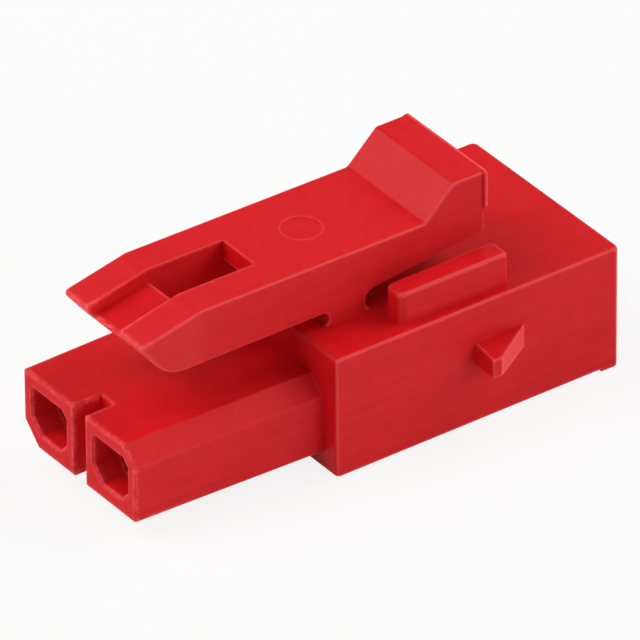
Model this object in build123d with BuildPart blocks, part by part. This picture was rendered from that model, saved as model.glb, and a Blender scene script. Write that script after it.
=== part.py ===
from build123d import *
from math import radians, tan
import os

# Receptacle housing of a two-position, single-row wire-to-board connector, in millimetres.
# +X is the width, +Y runs from the mating face to the wire entries, and +Z is up, latch on top.
# The origin is at the middle of the footprint, on the surface that the housing rests on.

# Contact grid
pitch = 3.0

# Silos: the two towers that enter the header
silo_gap = 0.57
silo_height = 2.36
silo_length = 6.44
silo_draft = 1.1
silo_draft_low = 0.7
silo_corner = 0.09
silo_edge = 0.06
slot_depth = 1.0
slot_edge = 0.07
key_chamfer_top = 0.56
key_chamfer_low = 0.67

# Body: the wider block behind the silos
body_length = 9.99
body_height = 3.93
body_side_wall = 0.8
body_floor_wall = 0.42
body_roof_wall = 0.81
body_corner = 0.22
body_edge = 0.12
silo_lift = 0.58
foot_length = 0.65
foot_height = 0.09

# Contact cavities, the same in both positions
passage_width = 1.64
passage_height = 1.4
passage_length = 0.9
passage_rim = 0.07
passage_low_left = 0.45
passage_low_right = 0.33
passage_up_right = 0.2
passage_up_left = 0.05
contact_width = 1.8
contact_height = 1.74
contact_corner = 0.45
wire_width = 2.4
wire_length = 6.6
wire_lead_in = 0.25
tang_pocket_width = 1.0
tang_pocket_depth = 0.3
tang_pocket_length = 1.5
tang_pocket_setback = 0.8

# Latch: a lever that rocks on a post moulded to the top of the body
lever_width = 3.8
lever_gap = 0.44
lever_thickness = 1.76
lever_fall = 0.07
lever_edge = 0.09
nose_reach = 5.65
nose_drop = 0.47
nose_radius = 0.13
knee_setback = 2.18
undercut_angle = 52.0
chin_radius = 1.2
post_setback = 0.91
post_thickness = 1.29
post_root = 0.2
rear_gap = 0.61
rear_gap_radius = 0.32
rear_gap_slope = 0.118
tail_reach = 6.44
press_length = 1.15
press_height = 0.97
press_ramp = 1.03
press_foot_radius = 0.2
press_head_radius = 0.15
tail_radius = 0.12
lip_height = 1.24
lip_depth = 0.13
lip_lap = 0.05
lip_flare = 0.05
lip_corner = 0.1

# Catch in the lever: a channel, the bar that hooks the header, a window, and a web behind it
catch_width = 1.52
channel_depth = 0.4
window_length = 2.6
web_thickness = 0.58
web_radius = 0.3
web_setback = 0.4

# Round ejector mark on top of the lever
mark_diameter = 1.2
mark_depth = 0.03
mark_setback = 1.31

# Guard walls that stand either side of the lever
guard_clearance = 0.44
guard_thickness = 0.79
guard_height = 1.03
guard_setback = 2.48
guard_length = 3.84
guard_nose_corner = 0.3
guard_heel_corner = 0.18
guard_edge = 0.15

# Side ribs, square in front and sloping at the back, each with a narrow flat tip
rib_reach = 0.88
rib_height = 0.63
rib_root_rise = 0.13
rib_lift = 1.88
rib_setback = 4.85
rib_length = 1.73
rib_tip_length = 0.28
rib_edge = 0.06

# How far the pieces of the moulding run into each other
join = 0.3

# Places along Y
overall_length = silo_length + body_length
front_y = -overall_length / 2
face_y = front_y + silo_length
back_y = overall_length / 2
foot_y = back_y - foot_length
nose_y = face_y - nose_reach
knee_y = nose_y + knee_setback
window_back_y = knee_y + window_length
post_front_y = face_y + post_setback
post_back_y = post_front_y + post_thickness
tail_y = face_y + tail_reach
press_front_y = tail_y - press_length
press_back_y = tail_y - lip_depth + lip_lap
ramp_y = press_front_y - press_ramp
guard_y = face_y + guard_setback
rib_y = face_y + rib_setback
contact_y = front_y + passage_length
wire_y = back_y - wire_length
pocket_y = face_y + tang_pocket_setback

# Places along Z
floor_z = foot_height
top_z = floor_z + body_height
silo_floor_z = floor_z + silo_lift
silo_top_z = silo_floor_z + silo_height
cavity_z = (silo_floor_z + silo_top_z) / 2
wire_floor_z = floor_z + body_floor_wall
wire_roof_z = top_z - body_roof_wall
lever_under_z = top_z + lever_gap
knee_z = lever_under_z + lever_thickness
nose_z = knee_z - nose_drop
ramp_z = knee_z - lever_fall
press_z = ramp_z + press_height
rear_under_z = top_z + rear_gap
rib_z = floor_z + rib_lift

# Places along X
silo_half_width = pitch - silo_gap / 2
body_half_width = pitch / 2 + wire_width / 2 + body_side_wall
lever_half_width = lever_width / 2
guard_x = lever_half_width + guard_clearance
positions = (-pitch / 2, pitch / 2)


def cross_plane(y):
    """An upright plane across the housing: local x is +X, local y is +Z."""
    return Plane(origin=(0, y, 0), x_dir=(1, 0, 0), z_dir=(0, -1, 0))


def cut_corner_box(x, width, height, low_left, low_right, up_right, up_left):
    """Corner points of a box centred on a contact position, each corner cut at 45 degrees."""
    left = x - width / 2
    right = x + width / 2
    low = cavity_z - height / 2
    high = cavity_z + height / 2
    return [
        (left, low + low_left),
        (left + low_left, low),
        (right - low_right, low),
        (right, low + low_right),
        (right, high - up_right),
        (right - up_right, high),
        (left + up_left, high),
        (left, high - up_left),
    ]


def silo_outline(half_width, low):
    """Outline of both silos: keyed by a chamfer at the lower left and at the upper right."""
    return [
        (-half_width, low + key_chamfer_low),
        (-half_width + key_chamfer_low, low),
        (half_width, low),
        (half_width, silo_top_z - key_chamfer_top),
        (half_width - key_chamfer_top, silo_top_z),
        (-half_width, silo_top_z),
    ]


# Body block, relieved underneath so that it stands on a low foot at its rear end
with BuildPart() as body:
    with BuildSketch(Plane.XY) as body_plan:
        with Locations((0, (face_y + back_y) / 2)):
            Rectangle(2 * body_half_width, body_length)
        fillet(body_plan.vertices().group_by(Axis.Y)[0], body_edge)
        fillet(body_plan.vertices().group_by(Axis.Y)[-1], body_corner)
    extrude(amount=top_z)
    fillet(body.faces().sort_by(Axis.Z)[-1].edges(), body_edge)
    with BuildSketch(Plane.XY):
        with Locations((0, (face_y + foot_y) / 2)):
            Rectangle(2 * body_half_width, foot_y - face_y)
    extrude(amount=foot_height, mode=Mode.SUBTRACT)

# Silos, a little larger towards the body so that they leave the mould
with BuildPart() as silos:
    for depth in (0, silo_length + join):
        half_width = silo_half_width + depth * tan(radians(silo_draft))
        low = silo_floor_z - depth * tan(radians(silo_draft_low))
        with BuildSketch(cross_plane(front_y + depth)):
            with BuildLine():
                FilletPolyline(*silo_outline(half_width, low), radius=silo_corner, close=True)
            make_face()
    loft()
    with BuildSketch(Plane.XY):
        with Locations((0, front_y + slot_depth / 2)):
            Rectangle(silo_gap, slot_depth)
    extrude(amount=silo_top_z, mode=Mode.SUBTRACT)
    slot_edges = silos.edges().filter_by_position(Axis.X, -silo_gap / 2, silo_gap / 2)
    fillet(slot_edges.group_by(Axis.Z)[-1], slot_edge)
    fillet(silos.faces().filter_by(Axis.Y).group_by(Axis.Y)[0].edges(), silo_edge)

# Lever and post, drawn from the side
with BuildPart() as latch:
    root_flange = post_root + lever_edge
    chin_y = nose_y + (nose_z - lever_under_z) / tan(radians(undercut_angle))
    press_under_z = rear_under_z + rear_gap_slope * (press_back_y - post_back_y)
    lever_outline = [
        (nose_y, nose_z, nose_radius),
        (knee_y, knee_z, 0),
        (ramp_y, ramp_z, press_foot_radius),
        (press_front_y, press_z, press_head_radius),
        (press_back_y, press_z, 0),
        (press_back_y, press_under_z, tail_radius),
        (post_back_y, rear_under_z, rear_gap_radius),
        (post_back_y, top_z, post_root),
        (post_back_y + root_flange, top_z, 0),
        (post_back_y + root_flange, top_z - join, 0),
        (post_front_y - root_flange, top_z - join, 0),
        (post_front_y - root_flange, top_z, 0),
        (post_front_y, top_z, post_root),
        (post_front_y, lever_under_z, post_root),
        (chin_y, lever_under_z, chin_radius),
    ]
    lever_points = [(y, z) for y, z, radius in lever_outline]
    lever_radii = [radius for y, z, radius in lever_outline]
    with BuildSketch(Plane.YZ):
        with BuildLine():
            FilletPolyline(*lever_points, radius=lever_radii, close=True)
        make_face()
    extrude(amount=lever_half_width, both=True)
    side_edges = latch.faces().filter_by(Axis.X).edges()
    fillet([edge for edge in side_edges if edge.center().Z > top_z], lever_edge)

    # Thin lip round the back of the thumb press, lapped over its rounded end
    with BuildSketch(cross_plane(tail_y)):
        with Locations((0, press_z - lip_height / 2)):
            RectangleRounded(lever_width + 2 * lip_flare, lip_height, lip_corner)
    extrude(amount=lip_depth)

    # Channel over the front of the lever, parallel to its sloping top
    channel_fall = (knee_z - nose_z) / (knee_y - nose_y)
    with BuildSketch(Plane.YZ):
        with BuildLine():
            Polyline(
                (nose_y - join, nose_z - channel_depth - join * channel_fall),
                (knee_y, knee_z - channel_depth),
                (knee_y, press_z),
                (nose_y - join, press_z),
                close=True,
            )
        make_face()
    extrude(amount=catch_width / 2, both=True, mode=Mode.SUBTRACT)

    # Window right through the lever, and the hollow under the web behind it
    with BuildSketch(Plane.XY.offset(top_z)):
        with Locations((0, (knee_y + window_back_y) / 2)):
            Rectangle(catch_width, window_length)
    extrude(amount=press_z - top_z, mode=Mode.SUBTRACT)
    web_back_y = post_front_y - web_setback
    web_under_z = knee_z - lever_fall - web_thickness
    with BuildSketch(Plane.YZ):
        with BuildLine():
            FilletPolyline(
                (window_back_y - join, top_z),
                (window_back_y - join, web_under_z),
                (web_back_y, web_under_z),
                (web_back_y, top_z),
                radius=[0, 0, web_radius, 0],
                close=True,
            )
        make_face()
    extrude(amount=catch_width / 2, both=True, mode=Mode.SUBTRACT)

    # Ejector mark, a shallow disc sunk in the top
    top_fall = (knee_z - ramp_z) / (ramp_y - knee_y)
    mark_y = face_y + mark_setback
    mark_z = knee_z - top_fall * (mark_y - knee_y)
    with BuildSketch(Plane((0, mark_y, mark_z), x_dir=(1, 0, 0), z_dir=(0, top_fall, 1))):
        Circle(mark_diameter / 2)
    extrude(amount=-mark_depth, mode=Mode.SUBTRACT)

# One guard wall and one rib, on the right; the left ones mirror them
with BuildPart() as guard:
    with BuildSketch(Plane.XY.offset(top_z - join)) as guard_plan:
        with Locations((guard_x + guard_thickness / 2, guard_y + guard_length / 2)):
            Rectangle(guard_thickness, guard_length)
        fillet(guard_plan.vertices().group_by(Axis.Y)[0], guard_nose_corner)
        fillet(guard_plan.vertices().group_by(Axis.Y)[-1], guard_heel_corner)
    extrude(amount=guard_height + join)
    fillet(guard.faces().sort_by(Axis.Z)[-1].edges(), guard_edge)
    mirror(about=Plane.YZ)

with BuildPart() as ribs:
    rib_top_z = rib_z + rib_height
    with BuildSketch(cross_plane(rib_y)):
        with BuildLine():
            Polyline(
                (body_half_width - join, rib_z),
                (body_half_width + rib_reach, rib_z),
                (body_half_width + rib_reach, rib_top_z),
                (body_half_width, rib_top_z + rib_root_rise),
                (body_half_width - join, rib_top_z + rib_root_rise),
                close=True,
            )
        make_face()
    extrude(amount=-rib_length)
    with BuildSketch(Plane.XY.offset(rib_z)):
        with BuildLine():
            Polyline(
                (body_half_width - join, rib_y),
                (body_half_width + rib_reach, rib_y),
                (body_half_width + rib_reach, rib_y + rib_tip_length),
                (body_half_width, rib_y + rib_length),
                (body_half_width - join, rib_y + rib_length),
                close=True,
            )
        make_face()
    extrude(amount=rib_height + rib_root_rise, mode=Mode.INTERSECT)
    rib_tip = ribs.faces().filter_by(Axis.X).sort_by(Axis.X)[-1]
    fillet(rib_tip.edges(), rib_edge)
    mirror(about=Plane.YZ)

# The whole moulding
with BuildPart() as housing:
    add(body.part)
    add(silos.part)
    add(latch.part)
    add(guard.part)
    add(ribs.part)

    # Each cavity: pin passage at the mating face, contact chamber, wire chamber, and the pocket
    # whose front shoulder the terminal's tang snaps behind
    for x in positions:
        passage = cut_corner_box(
            x,
            passage_width,
            passage_height,
            passage_low_left,
            passage_low_right,
            passage_up_right,
            passage_up_left,
        )
        chamber = cut_corner_box(
            x, contact_width, contact_height, contact_corner, contact_corner, contact_corner, contact_corner
        )
        with BuildSketch(cross_plane(front_y)):
            with BuildLine():
                Polyline(*passage, close=True)
            make_face()
        extrude(amount=-passage_length, mode=Mode.SUBTRACT)
        with BuildSketch(cross_plane(contact_y)):
            with BuildLine():
                Polyline(*chamber, close=True)
            make_face()
        extrude(amount=contact_y - wire_y, mode=Mode.SUBTRACT)
        with BuildSketch(cross_plane(wire_y)):
            with Locations((x, (wire_floor_z + wire_roof_z) / 2)):
                Rectangle(wire_width, wire_roof_z - wire_floor_z)
        extrude(amount=wire_y - back_y, mode=Mode.SUBTRACT)
        with BuildSketch(Plane.XY.offset(cavity_z)):
            with Locations((x, pocket_y + tang_pocket_length / 2)):
                Rectangle(tang_pocket_width, tang_pocket_length)
        extrude(amount=contact_height / 2 + tang_pocket_depth, mode=Mode.SUBTRACT)

    front_rims = ShapeList()
    for face in housing.faces().filter_by(Axis.Y).group_by(Axis.Y)[0]:
        front_rims += face.inner_wires().edges()
    chamfer(front_rims, passage_rim)
    rear_rims = ShapeList()
    for face in housing.faces().filter_by(Axis.Y).group_by(Axis.Y)[-1]:
        rear_rims += face.inner_wires().edges()
    chamfer(rear_rims, wire_lead_in)

housing.part.label = "housing"
os.makedirs("parts", exist_ok=True)
export_step(housing.part, "parts/housing.step")
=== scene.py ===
from math import cos, pi, radians, sin

import bpy
from mathutils import Matrix, Vector

# Camera: the photograph's viewing angle, in the row frame
AZIMUTH = radians(54.36)
ELEVATION = radians(33.31)
ROLL = radians(-0.48)
DISTANCE = 0.3813
AIM = Vector((0.0000738, 0.0001135, 0.0028700))
SENSOR_MM = 36.0
LENS_MM = 754.3
CLIP_NEAR = 0.05
CLIP_FAR = 5.0

# Surroundings: plain white where they are seen, and this strong where they light the object
WHITE = (1.0, 1.0, 1.0, 1.0)
SKY_STRENGTH = 0.02

# Softboxes: direction from the front round to the right, height angle, and watts of each
SOFTBOX_DISTANCE = 0.33
SOFTBOX_SIZE = 0.18
SOFTBOXES = {
    "left_low": (-45, 30, 0.40),
    "left_high": (-45, 58, 0.33),
    "front": (0, 34, 0.23),
    "right": (110, 22, 0.27),
    "right_back": (150, 28, 0.31),
    "back_high": (180, 50, 0.30),
}

# Floor: its size, its gap under the object, its colour, and how white it is where it is seen
FLOOR_HALF_SIDE = 0.40
FLOOR_DROP = 0.00001
FLOOR_COLOUR = (0.90, 0.90, 0.90, 1.0)
FLOOR_GLOW = 0.86

# Red polyamide: its darker and lighter shades, the pale shade used for edge wear and for painted
# highlights and sheen, and its gloss
RED_DEEP = (0.655, 0.0068, 0.0110, 1.0)
RED = (0.735, 0.0105, 0.0150, 1.0)
RED_WORN_AND_HIGHLIT = (0.980, 0.100, 0.110, 1.0)
IOR = 1.53
SPECULAR_LEVEL = 0.085
ROUGHNESS = (0.36, 0.50)
ROUGHNESS_NOISE = (0.3, 0.7)

# Textures of the moulding: fineness per metre, detail and roughness of each noise
WAVES = (900.0, 3.0, 0.5)
MOTTLE = (2600.0, 2.0, 0.5)
SCUFF = (5200.0, 4.0, 0.7)
LINES = (7000.0, 1.0, 0.5)
GRAIN = (16000.0, 2.0, 0.6)
WAVE_HEIGHT = 0.000012
GRAIN_HEIGHT = 0.000004
LINES_STRETCH = (1.0, 0.035, 1.0)

# How much of the shade comes from each texture, and the part of their sum that runs from dark to light
WAVES_SHARE = 0.45
MOTTLE_SHARE = 0.35
LINES_SHARE = 0.20
SHADE_NOISE = (0.35, 0.65)

# Outer edges: rounding, width of the pale rim, which is wear and a painted highlight, and how open the
# inside reads on a face and at an edge
EDGE_RADIUS = 0.00002
EDGE_ROUNDING_SAMPLES = 4
EDGE_OPENNESS_SAMPLES = 8
EDGE_WIDTH = 0.00012
EDGE_OPENNESS = (0.92, 0.45)
EDGE_WEAR_AND_HIGHLIGHT = (0.35, 0.80)
NOISE_OF_EDGE_WEAR_AND_HIGHLIGHT = (0.35, 0.65)

# The front of the moulding, where handling and flash leave the edges wider, paler and flecked
FRONT_Y = (-0.0058, -0.0074)
FRONT_EDGE_WIDTH = 0.00020
FRONT_FLECKS = 0.95
FRONT_FLECK_NOISE = (0.48, 0.56)

# Width of a soft border between two looks
SOFT_STEP = 0.0001

# Rounded long edges, with a painted highlight: palest on the body and the lever, less so on silo
# chamfers and guard corners
SLANT = (0.25, 0.45)
ROUNDED_EDGE_HIGHLIGHT = 0.50
CHAMFER_HIGHLIGHT = 0.12
FACE_Y = -0.001775
GUARD_INNER_X = 0.00195
GUARD_FOOT = 0.00395
GUARD_CORNER_SHARE = 0.65

# The thin lip at the back of the thumb press, with a painted highlight along its rear rim
LIP_FRONT = 0.00448
LIP_START = 0.00458
LIP_FULL = 0.00461
LIP_UNDER = 0.00575
LIP_RIM_HIGHLIGHT = 0.80

# Side walls: how squarely they face the side, which sets a painted sheen on them, and their streaks
# drawn along the mould
WALL_TURN = (0.80, 0.98)
WALL_SHEEN = 0.10
STREAKS = (0.8, 1.2)
STREAK_NOISE = (0.3, 0.7)

# The ramp under the thumb, with a painted sheen: how far it faces forward and up
RAMP_FORWARD = (-0.45, -0.60)
RAMP_UP = (0.45, 0.60)
RAMP_SHEEN = 0.15

# The latch nose that slides into the header: its two arms, then its tip and chin, flecked and with a
# painted highlight where they face forward
NOSE_Y = (-0.0050, -0.0056)
NOSE_UNDER = 0.0042
NOSE_PALENESS = 0.10
CHANNEL_HALF_WIDTH = 0.00076
TIP_FORWARD = (-0.60, -0.85)
TIP_FLECKS_AND_HIGHLIGHT = (0.22, 0.60)
TIP_NOISE = (0.42, 0.58)

# The ring that the ejector pin leaves on top of the lever
RING_PLANE = (1.0, 1.0, 0.0)
RING_CENTRE = (0.0, -0.000465, 0.0)
RING_RADIUS = 0.00062
RING_WIDTH = 0.00010
RING_LEVEL = 0.0058
RING_PALENESS = 0.12


def add_node(tree, kind, inputs=None, **settings):
    """Adds a node, sets its properties, and sets or links its inputs by name or number."""
    node = tree.nodes.new(kind)
    for name, value in settings.items():
        setattr(node, name, value)
    for key, value in (inputs or {}).items():
        socket = node.inputs[key]
        if isinstance(value, bpy.types.NodeSocket):
            tree.links.new(value, socket)
        else:
            socket.default_value = value
    return node


def new_material(name):
    """An empty node material: its tree and its output node."""
    material = bpy.data.materials.new(name)
    material.use_nodes = True
    tree = material.node_tree
    tree.nodes.clear()
    return material, tree, tree.nodes.new("ShaderNodeOutputMaterial")


def noise(tree, place, scale, detail, roughness):
    """The grey value of a noise texture, 0 to 1."""
    return add_node(
        tree,
        "ShaderNodeTexNoise",
        {"Vector": place, "Scale": scale, "Detail": detail, "Roughness": roughness},
    ).outputs["Fac"]


def spread(tree, value, low, high, to_low=0.0, to_high=1.0):
    """A value moved from one range to another and kept inside it."""
    return add_node(
        tree,
        "ShaderNodeMapRange",
        {"Value": value, "From Min": low, "From Max": high, "To Min": to_low, "To Max": to_high},
    ).outputs["Result"]


def past(tree, value, border):
    """1 past a border, else 0, with a soft step between."""
    return spread(tree, value, border, border + SOFT_STEP)


def combined(tree, operation, first, *others):
    """Values put together one by one with one operation."""
    for other in others:
        node = add_node(tree, "ShaderNodeMath", {0: first, 1: other}, operation=operation)
        first = node.outputs["Value"]
    return first


def product(tree, *values):
    """Values multiplied."""
    return combined(tree, "MULTIPLY", *values)


def total(tree, *values):
    """Values added."""
    return combined(tree, "ADD", *values)


def greatest(tree, *values):
    """The greatest of the values."""
    return combined(tree, "MAXIMUM", *values)


def size_of(tree, value):
    """A value without its sign."""
    return add_node(tree, "ShaderNodeMath", {0: value}, operation="ABSOLUTE").outputs["Value"]


def parts_of(tree, vector):
    """The X, Y and Z of a vector."""
    return add_node(tree, "ShaderNodeSeparateXYZ", {"Vector": vector}).outputs


def blend(tree, factor, first, second):
    """Two colours mixed, through the node's sockets for colours: inputs 6 and 7, output 2."""
    mix = add_node(tree, "ShaderNodeMix", {"Factor": factor, 6: first, 7: second}, data_type="RGBA")
    return mix.outputs[2]


def bump(tree, height, distance, normal):
    """A normal bent by a height."""
    return add_node(
        tree,
        "ShaderNodeBump",
        {"Height": height, "Strength": 1.0, "Distance": distance, "Normal": normal},
    ).outputs["Normal"]


def moulded_polyamide():
    """Satin red plastic: grain, slow waves and drawn lines, with outer edges paler from wear and a
    painted highlight, flecks at the front, and painted highlights and sheen on rounded edges, side
    walls, the thumb ramp and the nose tip.
    """
    material, tree, output = new_material("moulded_polyamide")
    coordinates = add_node(tree, "ShaderNodeTexCoord").outputs
    place = coordinates["Object"]
    axes = parts_of(tree, place)
    facing = parts_of(tree, coordinates["Normal"])
    waves = noise(tree, place, *WAVES)
    mottle = noise(tree, place, *MOTTLE)
    scuff = noise(tree, place, *SCUFF)
    grain = noise(tree, place, *GRAIN)
    stretched = add_node(tree, "ShaderNodeMapping", {"Vector": place, "Scale": LINES_STRETCH})
    lines = noise(tree, stretched.outputs["Vector"], *LINES)

    edges = total(tree, worn_and_highlit_edges(tree, axes, scuff), painted_edge_highlight(tree, axes, facing))
    # Paleness: edge wear, flecks and the ejector ring, with painted highlights on edges, the lip rim and
    # the nose tip, and painted sheen on side walls and the thumb ramp
    paleness = total(
        tree,
        product(tree, edges, off_the_lip(tree, axes)),
        lip_rim_highlight(tree, axes),
        ejector_ring(tree, place, axes),
        nose_tip_flecks_and_highlight(tree, axes, facing, scuff),
        side_wall_sheen(tree, facing, lines),
        thumb_ramp_sheen(tree, facing),
        nose_arms(tree, axes),
    )
    shade = total(
        tree,
        product(tree, waves, WAVES_SHARE),
        product(tree, mottle, MOTTLE_SHARE),
        product(tree, lines, LINES_SHARE),
    )
    red = blend(tree, spread(tree, shade, *SHADE_NOISE), RED_DEEP, RED)
    rounded = add_node(tree, "ShaderNodeBevel", {"Radius": EDGE_RADIUS}, samples=EDGE_ROUNDING_SAMPLES)
    wavy = bump(tree, waves, WAVE_HEIGHT, rounded.outputs["Normal"])
    plastic = add_node(
        tree,
        "ShaderNodeBsdfPrincipled",
        {
            "Base Color": blend(tree, paleness, red, RED_WORN_AND_HIGHLIT),
            "Roughness": spread(tree, scuff, *ROUGHNESS_NOISE, *ROUGHNESS),
            "Normal": bump(tree, grain, GRAIN_HEIGHT, wavy),
            "IOR": IOR,
            "Specular IOR Level": SPECULAR_LEVEL,
        },
    )
    tree.links.new(plastic.outputs["BSDF"], output.inputs["Surface"])
    return material


def worn_and_highlit_edges(tree, axes, scuff):
    """How much paler the sharp outer edges are, as wear and a painted highlight: where a short ray into
    the plastic comes out again.
    """
    front = spread(tree, axes["Y"], *FRONT_Y)
    width = spread(tree, front, 0.0, 1.0, EDGE_WIDTH, FRONT_EDGE_WIDTH)
    openness = add_node(
        tree,
        "ShaderNodeAmbientOcclusion",
        {"Distance": width},
        samples=EDGE_OPENNESS_SAMPLES,
        inside=True,
        only_local=True,
    ).outputs["AO"]
    flecks = product(tree, front, spread(tree, scuff, *FRONT_FLECK_NOISE, 0.0, FRONT_FLECKS))
    # Edge paleness: scuffed wear and front flecks, together with a painted highlight along the outer
    # edges
    wear_and_highlight = total(tree, spread(tree, scuff, *NOISE_OF_EDGE_WEAR_AND_HIGHLIGHT, *EDGE_WEAR_AND_HIGHLIGHT), flecks)
    return product(tree, spread(tree, openness, *EDGE_OPENNESS), wear_and_highlight)


def painted_edge_highlight(tree, axes, facing):
    """Painted highlight: how much paler the rounded long edges are, where a side turns into another
    face.
    """
    aside = past(tree, size_of(tree, axes["X"]), GUARD_INNER_X)
    guard = product(tree, aside, past(tree, axes["Z"], GUARD_FOOT))
    share = spread(tree, guard, 0.0, 1.0, 1.0, GUARD_CORNER_SHARE)
    others = total(tree, product(tree, size_of(tree, facing["Y"]), share), size_of(tree, facing["Z"]))
    slanted = spread(tree, product(tree, size_of(tree, facing["X"]), others), *SLANT)
    body = spread(tree, axes["Y"], FACE_Y - SOFT_STEP, FACE_Y, CHAMFER_HIGHLIGHT, ROUNDED_EDGE_HIGHLIGHT)
    lever = product(tree, past(tree, axes["Z"], NOSE_UNDER - SOFT_STEP), ROUNDED_EDGE_HIGHLIGHT)
    # Painted highlight, strongest where the normal is slanted between two faces
    return product(tree, slanted, greatest(tree, body, lever))


def off_the_lip(tree, axes):
    """0 on the lip of the thumb press, else 1."""
    lip = product(tree, spread(tree, axes["Y"], LIP_FRONT, LIP_START), past(tree, axes["Z"], LIP_UNDER))
    return spread(tree, lip, 0.0, 1.0, 1.0, 0.0)


def lip_rim_highlight(tree, axes):
    """Painted highlight: how much paler the rear rim of the lip is."""
    rim = spread(tree, axes["Y"], LIP_START, LIP_FULL, 0.0, LIP_RIM_HIGHLIGHT)
    return product(tree, rim, past(tree, axes["Z"], LIP_UNDER))


def side_wall_sheen(tree, facing, lines):
    """Painted sheen: how much paler the side walls are as they face the side, with their streaks."""
    walls = spread(tree, size_of(tree, facing["X"]), *WALL_TURN, 0.0, WALL_SHEEN)
    # Painted sheen on faces turned to the side, broken by streaks
    return product(tree, walls, spread(tree, lines, *STREAK_NOISE, *STREAKS))


def thumb_ramp_sheen(tree, facing):
    """Painted sheen: how much paler the ramp under the thumb is."""
    forward = spread(tree, facing["Y"], *RAMP_FORWARD, 0.0, RAMP_SHEEN)
    return product(tree, forward, spread(tree, facing["Z"], *RAMP_UP))


def on_the_nose(tree, axes):
    """1 on the front end of the lever, else 0."""
    return product(tree, spread(tree, axes["Y"], *NOSE_Y), past(tree, axes["Z"], NOSE_UNDER))


def nose_arms(tree, axes):
    """How much paler the two arms of the latch nose are."""
    arms = past(tree, size_of(tree, axes["X"]), CHANNEL_HALF_WIDTH)
    return product(tree, on_the_nose(tree, axes), arms, NOSE_PALENESS)


def nose_tip_flecks_and_highlight(tree, axes, facing, scuff):
    """How much paler the tip and chin of the latch nose are: flecks, and a painted highlight where they
    face forward.
    """
    ahead = spread(tree, facing["Y"], *TIP_FORWARD)
    return product(tree, on_the_nose(tree, axes), ahead, spread(tree, scuff, *TIP_NOISE, *TIP_FLECKS_AND_HIGHLIGHT))


def ejector_ring(tree, place, axes):
    """How much paler the plastic is on the soft ring round the ejector mark."""
    flat = add_node(
        tree, "ShaderNodeVectorMath", {0: place, 1: RING_PLANE}, operation="MULTIPLY"
    ).outputs["Vector"]
    reach = add_node(
        tree, "ShaderNodeVectorMath", {0: flat, 1: RING_CENTRE}, operation="DISTANCE"
    ).outputs["Value"]
    outside = spread(tree, reach, RING_RADIUS, RING_RADIUS + RING_WIDTH, RING_PALENESS, 0.0)
    inside = spread(tree, reach, RING_RADIUS - RING_WIDTH, RING_RADIUS)
    return product(tree, past(tree, axes["Z"], RING_LEVEL), outside, inside)


def pale_floor():
    """Matt white floor that looks white to the camera and to reflections, and keeps a soft shadow."""
    material, tree, output = new_material("pale_floor")
    matt = add_node(tree, "ShaderNodeBsdfDiffuse", {"Color": FLOOR_COLOUR}).outputs["BSDF"]
    glow = add_node(tree, "ShaderNodeEmission", {"Color": WHITE, "Strength": 1.0}).outputs["Emission"]
    share = product(tree, rays_that_show_the_background(tree), FLOOR_GLOW)
    mix = add_node(tree, "ShaderNodeMixShader", {0: share, 1: matt, 2: glow})
    tree.links.new(mix.outputs["Shader"], output.inputs["Surface"])
    return material


def rays_that_show_the_background(tree):
    """1 for camera, glossy and transmission rays, else 0."""
    path = add_node(tree, "ShaderNodeLightPath").outputs
    return greatest(tree, path["Is Camera Ray"], path["Is Glossy Ray"], path["Is Transmission Ray"])


def white_studio():
    """World: plain white where it is seen, and softer where it lights."""
    world = bpy.data.worlds.new("white_studio")
    world.use_nodes = True
    tree = world.node_tree
    tree.nodes.clear()
    strength = spread(tree, rays_that_show_the_background(tree), 0.0, 1.0, SKY_STRENGTH, 1.0)
    background = add_node(tree, "ShaderNodeBackground", {"Color": WHITE, "Strength": strength})
    output = add_node(tree, "ShaderNodeOutputWorld")
    tree.links.new(background.outputs["Background"], output.inputs["Surface"])
    bpy.context.scene.world = world


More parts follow.
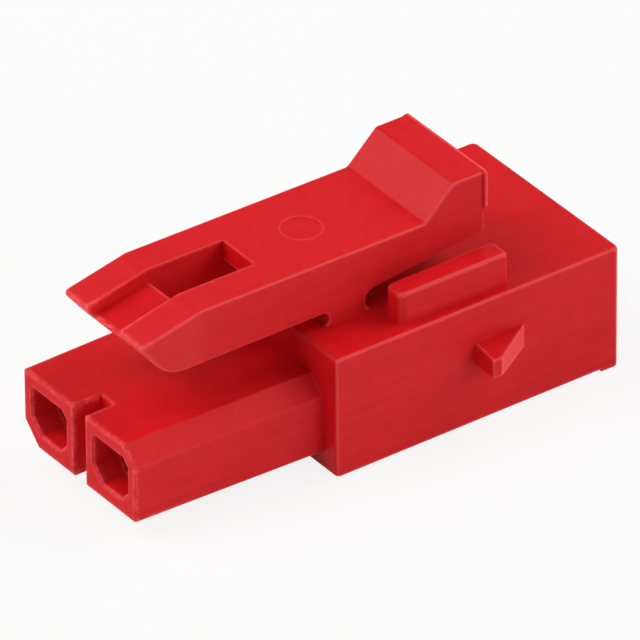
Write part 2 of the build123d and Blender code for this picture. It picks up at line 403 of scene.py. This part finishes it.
def add_floor():
    """A large square just under the object."""
    side = FLOOR_HALF_SIDE
    square = ((-side, -side), (side, -side), (side, side), (-side, side))
    mesh = bpy.data.meshes.new("floor")
    mesh.from_pydata([(x, y, -FLOOR_DROP) for x, y in square], [], [(0, 1, 2, 3)])
    mesh.materials.append(pale_floor())
    floor = bpy.data.objects.new("floor", mesh)
    bpy.context.scene.collection.objects.link(floor)


def add_softbox(name, side, height, watts):
    """A square area lamp that faces the object, at a side angle from the front and a height angle."""
    lamp = bpy.data.lights.new(name, "AREA")
    lamp.shape = "SQUARE"
    lamp.size = SOFTBOX_SIZE
    lamp.energy = watts
    direction = Vector((cos(height) * sin(side), -cos(height) * cos(side), sin(height)))
    box = bpy.data.objects.new(name, lamp)
    box.location = direction * SOFTBOX_DISTANCE
    box.rotation_euler = (AIM - box.location).to_track_quat("-Z", "Y").to_euler()
    bpy.context.scene.collection.objects.link(box)


def add_camera():
    """Camera at the photograph's angle."""
    data = bpy.data.cameras.new("camera")
    data.sensor_width = SENSOR_MM
    data.lens = LENS_MM
    data.clip_start = CLIP_NEAR
    data.clip_end = CLIP_FAR
    turn = (
        Matrix.Rotation(AZIMUTH, 4, "Z")
        @ Matrix.Rotation(pi / 2 - ELEVATION, 4, "X")
        @ Matrix.Rotation(ROLL, 4, "Z")
    )
    camera = bpy.data.objects.new("camera", data)
    camera.matrix_world = Matrix.Translation(AIM + turn.to_3x3() @ Vector((0, 0, DISTANCE))) @ turn
    bpy.context.scene.collection.objects.link(camera)
    bpy.context.scene.camera = camera


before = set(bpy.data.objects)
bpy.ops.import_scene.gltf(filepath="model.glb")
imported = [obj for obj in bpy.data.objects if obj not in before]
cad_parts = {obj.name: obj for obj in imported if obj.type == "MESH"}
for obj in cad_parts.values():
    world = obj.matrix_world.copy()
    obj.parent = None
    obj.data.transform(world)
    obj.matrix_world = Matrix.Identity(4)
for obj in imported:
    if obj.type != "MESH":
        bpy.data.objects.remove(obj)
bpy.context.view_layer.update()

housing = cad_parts["housing"]
housing.data.materials.clear()
housing.data.materials.append(moulded_polyamide())

add_floor()
white_studio()
for name, (side, height, watts) in SOFTBOXES.items():
    add_softbox(name, radians(side), radians(height), watts)
add_camera()
bpy.context.scene.view_settings.view_transform = "Standard"

bpy.context.view_layer.update()
